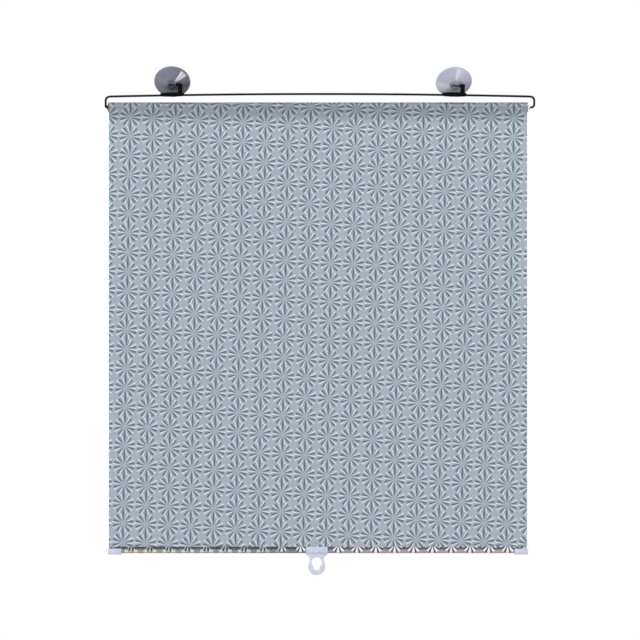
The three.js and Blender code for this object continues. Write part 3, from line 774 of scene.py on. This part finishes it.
def makeHem(sheet):
    # pocket round the rod, narrowing to the weld
    centre = -sheet["rodDepth"]
    neck, radius = sheet["neck"], sheet["pocketRadius"]
    lift = degrees(asin((radius - neck) / (sheet["rodDepth"] - sheet["drop"])))
    tube = arc((0, centre), radius, lift, -180 - lift, 40)
    section = [(neck, -sheet["drop"]), *tube, (-neck, -sheet["drop"])]
    rings = []
    for k in range(sheet["hemRows"] + 1):
        x = filmLeft + (filmRight - filmLeft) * k / sheet["hemRows"]
        crease = sum(size * sin(k * wave + shift) for size, wave, shift in sheet["creases"])
        rings.append([(x, dropY + y * (1 + crease * sheet["creaseOut"]), z + crease * sheet["creaseUp"])
                      for y, z in section])
    return Shell().skin(rings).piece("film_hem", hem, "bottom_rail", "silver_film", ["film"], atRoller)


makeRoll(filmSheet)
hangingFilm = makeSheet(filmSheet)
hemPocket = makeHem(filmSheet)
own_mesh(hangingFilm)
print("film made")


# ---- hub of the left end plug, between the roll and the wire's leg

leftHub = {"radius": 2.7, "inner": 252.6, "outer": 255.4, "round": 0.35, "bore": 1.4}


def makeHub(hub):
    outer, inner, rounded = -hub["outer"], -hub["inner"], hub["round"]
    profile = [(outer, hub["bore"])]
    profile += [(outer + rounded * (1 - cos(a)), hub["radius"] - rounded * (1 - sin(a)))
                for a in quarter(6)]
    profile += [(inner, hub["radius"]), (inner, hub["bore"])]
    return Shell().turned(profile, "X", 48).piece("left_hub", blackPlastic, "roller", "black_plastic", (),
                                                  atRoller)


makeHub(leftHub)
print("left hub made")


# ---- end caps of the hem

railCap = {
    "radius": 3.7, "length": 16.2, "endRound": 1.5, "lip": 0.35, "over": 1.3, "sides": 64,
    "mouthDepth": 0.6, "mouthWall": 0.75, "floorWall": 0.9,
}


def makeCap(name, side, cap):
    outer = (filmRight if side > 0 else filmLeft) + side * cap["over"]
    length, radius, rounded = cap["length"], cap["radius"], cap["endRound"]
    # from the shallow mouth that the hem enters, over the lip, to the rounded end
    profile = [(cap["mouthDepth"], 0.01), (cap["mouthDepth"], radius - cap["floorWall"]),
               (0.0, radius - cap["mouthWall"])]
    profile += [(cap["lip"] * (1 - cos(a)), radius - cap["lip"] * (1 - sin(a))) for a in quarter(6)]
    profile += [(length - rounded + rounded * sin(a), radius - rounded + rounded * cos(a))
                for a in quarter(10)]
    profile += [(length, 0.01)]
    start = outer - side * length
    placed = [(start + side * along, r) for along, r in profile]
    shell = Shell().turned(placed, "X", cap["sides"], (0, dropY, -filmSheet["rodDepth"]))
    return shell.piece(name, milky, "bottom_rail", "milky_plastic", [f"rail_{name}"], atRoller)


makeCap("cap_left", -1, railCap)
makeCap("cap_right", 1, railCap)
print("end caps made")


# ---- pull tab

tab = {
    "x": -4.15, "bandWidth": 26.0, "bandTop": 525.6, "bandBottom": 533.6, "bandThickness": 7.4,
    "bandRings": 24, "bandSides": 40, "acrossPower": 0.75, "upPower": 0.62,
    "drawFrom": 0.82, "draw": 8, "drawUp": 0.5, "corner": 1.5,
    "plateThickness": 2.4, "edge": 0.55, "waistDepth": 539.8, "waistWidth": 16.8, "curve": 3.0, "neck": 2.0,
    "lobeDepth": 549.4, "lobeRadius": 10.2, "lobeFrom": 30, "eyeDepth": 544.5, "eyeRadius": 6.2,
    "slotDepth": 550.3, "slotRadius": 3.85,
}


def tabOutline(tab):
    band, waist, lobe = tab["bandWidth"] / 2, tab["waistWidth"] / 2, tab["lobeRadius"]
    bottom, waistZ, lobeZ = -tab["bandBottom"], -tab["waistDepth"], -tab["lobeDepth"]
    curve, lobeArc = tab["curve"], arc((0, lobeZ), lobe, tab["lobeFrom"], -90, 30)
    half = [(band, -tab["bandTop"] - tab["corner"]), (band, bottom)]
    half += bezier((band, bottom), (band, bottom - curve), (waist, waistZ + curve), (waist, waistZ), 12)[1:]
    half += curveThrough(((waist, waistZ), (waist, waistZ - tab["neck"]), lobeArc[0], 6))[1:]
    half += lobeArc[1:]
    return half + [(-x, z) for x, z in reversed(half[:-1])]


def keyhole(tab):
    # round eye with a smaller round slot running into it
    gap = tab["slotDepth"] - tab["eyeDepth"]
    big, small = tab["eyeRadius"], tab["slotRadius"]
    down = (big * big - small * small + gap * gap) / (2 * gap)
    cross = sqrt(big * big - down * down)
    meetBig = degrees(atan2(-down, cross))
    meetSmall = degrees(atan2(gap - down, cross))
    eye = arc((0, -tab["eyeDepth"]), big, meetBig, 180 - meetBig, 40)
    slotArc = arc((0, -tab["slotDepth"]), small, 180 - meetSmall, 360 + meetSmall, 30)
    return eye + slotArc[1:-1]


def makeTab(tab):
    shell = Shell().take(plate([tabOutline(tab), keyhole(tab)], tab["plateThickness"], tab["edge"]))
    # the band is a rounded bar whose ends draw in
    half, top, bottom = tab["bandThickness"] / 2, -tab["bandTop"], -tab["bandBottom"]
    middle, reach = (top + bottom) / 2, (top - bottom) / 2
    rings, sides = [], tab["bandSides"]
    for k in range(tab["bandRings"] + 1):
        t = -1 + 2 * k / tab["bandRings"]
        draw = 1 - max(0, abs(t) - tab["drawFrom"]) ** 2 * tab["draw"]
        ring = []
        for step in range(sides):
            a = 2 * pi * step / sides
            across, up = cos(a), sin(a)
            y = copysign(abs(across) ** tab["acrossPower"], across) * half * draw
            z = copysign(abs(up) ** tab["upPower"], up) * reach * (1 - (1 - draw) * tab["drawUp"])
            ring.append((t * tab["bandWidth"] / 2, y, middle + z))
        rings.append(ring)
    shell.skin(rings)
    place = Matrix.Translation(rollerAxis + Vector((tab["x"], dropY, 0)) * mm)
    return shell.piece("keyhole_tab", milky, "bottom_rail", "milky_plastic", ["pull_tab"], place)


makeTab(tab)
print("pull tab made")


# ---- snap clips on the wire

clip = {
    "length": 28.6, "middleRadius": 2.9, "endRadius": 2.2, "lift": 0.6, "boreRadius": 1.45,
    "mouth": 50, "rings": 40, "tipShare": 0.03, "tipDraw": 0.12,
    "armInner": 7.2, "armWidth": 5.1, "armThickness": 3.3, "armFlare": 2.6, "armEdge": 0.5,
    "footHeight": 1.6, "kneeHeight": 2.7, "flareHeight": 5.7, "backHeight": 4.1, "backFlare": 0.8,
    "overPeg": 1.9, "chamfer": 0.3, "cornerRound": 1.7,
    "pegHeight": 12.4, "pegRadius": 1.6, "pegReach": 5.4, "pegTip": 0.9, "pegBlunt": 0.45, "pegIn": 1.0,
}


def clipPlace(side):
    # clip's own axes: X along the wire, Z towards the peg
    swing, cup = joints[f"clip_{side}_swing"], joints[f"cup_{side}_swing"]
    along, origin = Vector(swing["axis"]), Vector(swing["pos_m"])
    up = Vector(cup["pos_m"]) - origin
    up = (up - along * up.dot(along)).normalized()
    return axesAt(origin, along, up.cross(along), up)


def makeClip(side, clip):
    shell, half = Shell(), clip["length"] / 2
    mouth, bore, narrow = clip["mouth"], clip["boreRadius"], clip["tipShare"]
    angles = [radians(mouth + (360 - 2 * mouth) * i / 30) for i in range(31)]
    rings = []
    for k in range(clip["rings"] + 1):
        t = k / clip["rings"]
        bulge = 4 * t * (1 - t)
        outer = clip["endRadius"] + (clip["middleRadius"] - clip["endRadius"]) * bulge
        outer *= 1 - max(0, abs(2 * t - 1) - (1 - narrow)) / narrow * clip["tipDraw"]
        ring = [(outer * sin(a), clip["lift"] - outer * cos(a)) for a in angles]
        ring += [(bore * sin(a), -bore * cos(a)) for a in reversed(angles)]
        rings.append([(-half + clip["length"] * t, y, z) for y, z in ring])
    shell.skin(rings)
    # the arm, from its flared foot up to the rounded corner over the peg
    inner, top, knee = clip["armInner"], clip["pegHeight"] + clip["overPeg"], clip["kneeHeight"]
    outer, corner, chamfer = inner + clip["armWidth"], clip["cornerRound"], clip["chamfer"]
    toe = inner - clip["armFlare"]
    arm = [(toe, clip["footHeight"]), (toe, knee)]
    arm += curveThrough(((toe, knee), (inner, knee), (inner, clip["flareHeight"]), 10))[1:]
    arm += [(inner, top - chamfer), (inner + chamfer, top)]
    arm += curveThrough(((outer - corner, top), (outer, top), (outer, top - corner), 8))
    arm += [(outer, clip["backHeight"]), (outer + clip["backFlare"], clip["footHeight"])]
    shell.take(plate([arm], clip["armThickness"], clip["armEdge"]))
    reach, radius, blunt = clip["pegReach"], clip["pegRadius"], clip["pegBlunt"]
    peg = [(-reach, 0.01)]
    peg += [(-reach + clip["pegTip"] * (1 - cos(a)), radius * (blunt + (1 - blunt) * sin(a)))
            for a in quarter(8)]
    peg.append((inner + clip["pegIn"], radius))
    shell.turned(peg, "X", 40, (0, 0, clip["pegHeight"]))
    return shell.piece(f"snap_clip_{side}", blackPlastic, f"clip_{side}", "black_plastic", [f"cup_clip_{side}"],
                       clipPlace(side), sharp=42)


for side in ("left", "right"):
    makeClip(side, clip)
print("clips made")


# ---- suction cups on the pegs

cup = {
    "radius": 21.75, "lean": 2.5, "lip": 1.8, "lipThickness": 0.5, "rim": 8.4, "hollow": 2.9, "sides": 112,
    "knobRadius": 5.3, "knobFront": 4.0, "knobEdge": 0.9, "neckRadius": 4.4, "neck": 2.6, "holeRadius": 2.2,
    # how far before the neck the knob ends, then handles of the dish's two curves: along the axis, radius
    "neckIn": (1.4, 0.6), "backHandles": ((0.3, 5), (-3.2, -6)), "hollowHandles": ((-1.3, -7), -13),
    "lipSwell": 0.05, "lipDraw": 0.1,
}
# Angles run clockwise from straight up, seen from the front.
# Both cups are the same clear smoky vinyl. Each ramp round a cup is its tint with painted shade and painted
# reflection, and the left cup is painted darker than the right. The streaks are painted highlights, the rim is a
# painted lighter lip, and the line is a painted shade ring round the knob.
vinylLooks = {
    "left": {"tintAndShade": [(0, srgb(118, 122, 138)), (60, srgb(100, 103, 119)), (100, srgb(82, 85, 101)),
                       (150, srgb(58, 60, 74)), (200, srgb(62, 64, 78)), (235, srgb(112, 115, 131)),
                       (270, srgb(132, 136, 151)), (320, srgb(122, 126, 142)), (360, srgb(118, 122, 138))],
             "highlightStreaks": [(34, 0), (38, 1), (45, 0.85), (49, 0.35), (53, 1), (59, 0.75), (65, 0)],
             "streakHighlight": srgb(244, 244, 248), "highlightReach": (4.5, 20.5), "haze": srgb(160, 164, 178),
             "rim": srgb(150, 154, 168), "line": srgb(30, 31, 40),
             "alpha": 0.84, "knobClear": 0.76},
    "right": {"tintAndShade": [(0, srgb(190, 195, 214)), (40, srgb(194, 199, 215)), (90, srgb(172, 177, 196)),
                        (140, srgb(138, 142, 162)), (190, srgb(150, 154, 174)), (225, srgb(196, 201, 216)),
                        (262, srgb(212, 217, 230)), (285, srgb(190, 195, 213)), (335, srgb(184, 189, 209)),
                        (360, srgb(190, 195, 214))],
              "highlightStreaks": [(8, 0), (10, 1), (20, 0.8), (31, 0.2), (42, 0), (228, 0), (240, 0.75), (246, 0.3),
                          (252, 0.8), (259, 0.2), (265, 0.6), (276, 0)],
              "streakHighlight": srgb(232, 235, 244), "highlightReach": (5.4, 21.5), "haze": srgb(214, 218, 231),
              "rim": srgb(206, 210, 222), "line": srgb(54, 56, 68),
              "alpha": 0.8, "knobClear": 0.72},
}


def cupProfile(cup):
    # from the knob's front over the back of the dish, round the lip and into the hollow
    knob, edge, front = cup["knobRadius"], cup["knobEdge"], -cup["knobFront"]
    profile = [(front, 0.02), (front, (knob - edge) * 0.5)]
    profile += [(front + edge * (1 - cos(a)), knob - edge + edge * sin(a)) for a in quarter(8)]
    neck, narrow, rim, radius = cup["neck"], cup["neckRadius"], cup["rim"], cup["radius"]
    far, close = cup["neckIn"]
    profile += curveThrough(((neck - far, knob), (neck - close, knob), (neck, narrow), 6))
    (alongOut, radiusOut), (alongIn, radiusIn) = cup["backHandles"]
    profile += bezier((neck, narrow), (neck + alongOut, narrow + radiusOut),
                      (rim + alongIn, radius + radiusIn), (rim - cup["lipThickness"], radius), 26)[1:]
    profile += [(rim - cup["lipThickness"] / 2, radius + cup["lipSwell"]), (rim, radius - cup["lipDraw"]),
                (rim, radius - cup["lip"])]
    hollow, ((alongIn, radiusIn), floor) = rim - cup["hollow"], cup["hollowHandles"]
    profile += bezier((rim, radius - cup["lip"]), (rim + alongIn, radius + radiusIn),
                      (hollow, radius + floor), (hollow, 0.02), 26)[1:]
    return profile


def cupPlace(side):
    # cup's own axes: Y out of the hollow towards the glass, X close to the peg
    peg = Vector(joints[f"cup_{side}_swing"]["axis"])
    out = Vector(next(m for m in frame["record"]["mounts"] if m["name"] == f"cup_rim_{side}")["axis"])
    up = peg.cross(out).normalized()
    square = axesAt(Vector(joints[f"cup_{side}_swing"]["pos_m"]), out.cross(up), out, up)
    return square @ Matrix.Rotation(radians(cup["lean"]), 4, "X")


def makeCup(side, cup):
    place = cupPlace(side)
    finish = vinylFinish(f"clear_vinyl_{side}", vinylLooks[side], place)
    shell = Shell().turned(cupProfile(cup), "Y", cup["sides"])
    thing = shell.piece(f"vinyl_cup_{side}", finish, f"cup_{side}", "clear_vinyl",
                        [f"suction_cup_{side}"], place)
    reach, radius = 2 * cup["knobRadius"], cup["holeRadius"]
    bore = Shell().turned([(-reach, radius), (reach, radius)], "X", 48)
    cutter = newObject("bore", bpy.data.meshes.new("bore"))
    scale = place @ Matrix.Scale(mm, 4)
    cutter.data.from_pydata([scale @ point for point in bore.points], [], bore.faces)
    cutAway(thing, cutter)
    thing.data.set_sharp_from_angle(angle=radians(38))


for side in ("left", "right"):
    makeCup(side, cup)
print("suction cups made")


# ---- floor, light and camera

studio = {
    "floorDepth": 0.47, "floorHalf": 2.2, "floorBack": 0.7, "floorRough": 0.9,
    "floorColour": srgb(240, 240, 240), "mottleColour": srgb(236, 236, 237), "mottle": (400, 3, 0.5),
    "surround": 0.78, "aim": (0, 0, 0.05),
    # name, place, size, power
    "lamps": (("key", (-1.6, -2.6, 2.2), 1.6, 18.0), ("fill", (2.2, -2.2, 0.6), 1.8, 6.0),
              ("strip", (0.5, -1.2, 1.6), 0.25, 3.0)),
}
camera = {"distance": 5.0, "x": -0.0003, "z": 0.0008, "frameWidth": 0.7664, "sensor": 36, "clipEnd": 50}


def makeStudio(studio):
    finish = Finish("pale_floor", {"Roughness": studio["floorRough"]})
    mottle = finish.noise(*studio["mottle"])
    finish.wear({"Base Color": finish.mix(studio["floorColour"], studio["mottleColour"], mottle)})
    half, back = studio["floorHalf"], studio["floorBack"]
    mesh = bpy.data.meshes.new("floor")
    mesh.from_pydata([(-half, -2 * half, 0), (half, -2 * half, 0), (half, back, 0), (-half, back, 0)], [],
                     [(0, 1, 2, 3)])
    mesh.materials.append(finish.material)
    floor = newObject("floor", mesh)
    floor.location.z = -studio["floorDepth"]

    # the surround is white where the camera sees or mirrors it, and a little weaker as light
    world = bpy.data.worlds.new("soft_white")
    bpy.context.scene.world = world
    sky = Finish(world.name, {"Color": (1, 1, 1, 1)}, world)
    direct, mirrored, through = (sky.add("ShaderNodeLightPath", output=f"Is {kind} Ray")
                                 for kind in ("Camera", "Glossy", "Transmission"))
    seen = direct.calc("MAXIMUM", mirrored.calc("MAXIMUM", through))
    sky.wear({"Strength": sky.add("ShaderNodeMapRange", None,
                                  {"Value": seen, "To Min": studio["surround"], "To Max": 1.0})})

    for name, place, size, power in studio["lamps"]:
        lamp = bpy.data.lights.new(name, "AREA")
        lamp.energy, lamp.size = power, size
        holder = newObject(name, lamp)
        holder.location = place
        holder.rotation_euler = (Vector(studio["aim"]) - Vector(place)).to_track_quat("-Z", "Y").to_euler()


def makeCamera(camera):
    lens = bpy.data.cameras.new("camera")
    lens.lens = camera["sensor"] * camera["distance"] / camera["frameWidth"]
    lens.sensor_width = camera["sensor"]
    lens.clip_end = camera["clipEnd"]
    holder = newObject("camera", lens)
    holder.location = (camera["x"], -camera["distance"], camera["z"])
    holder.rotation_euler = (radians(90), 0, 0)
    bpy.context.scene.camera = holder


makeStudio(studio)
makeCamera(camera)
bpy.context.scene.view_settings.view_transform = "Standard"
print("studio made")
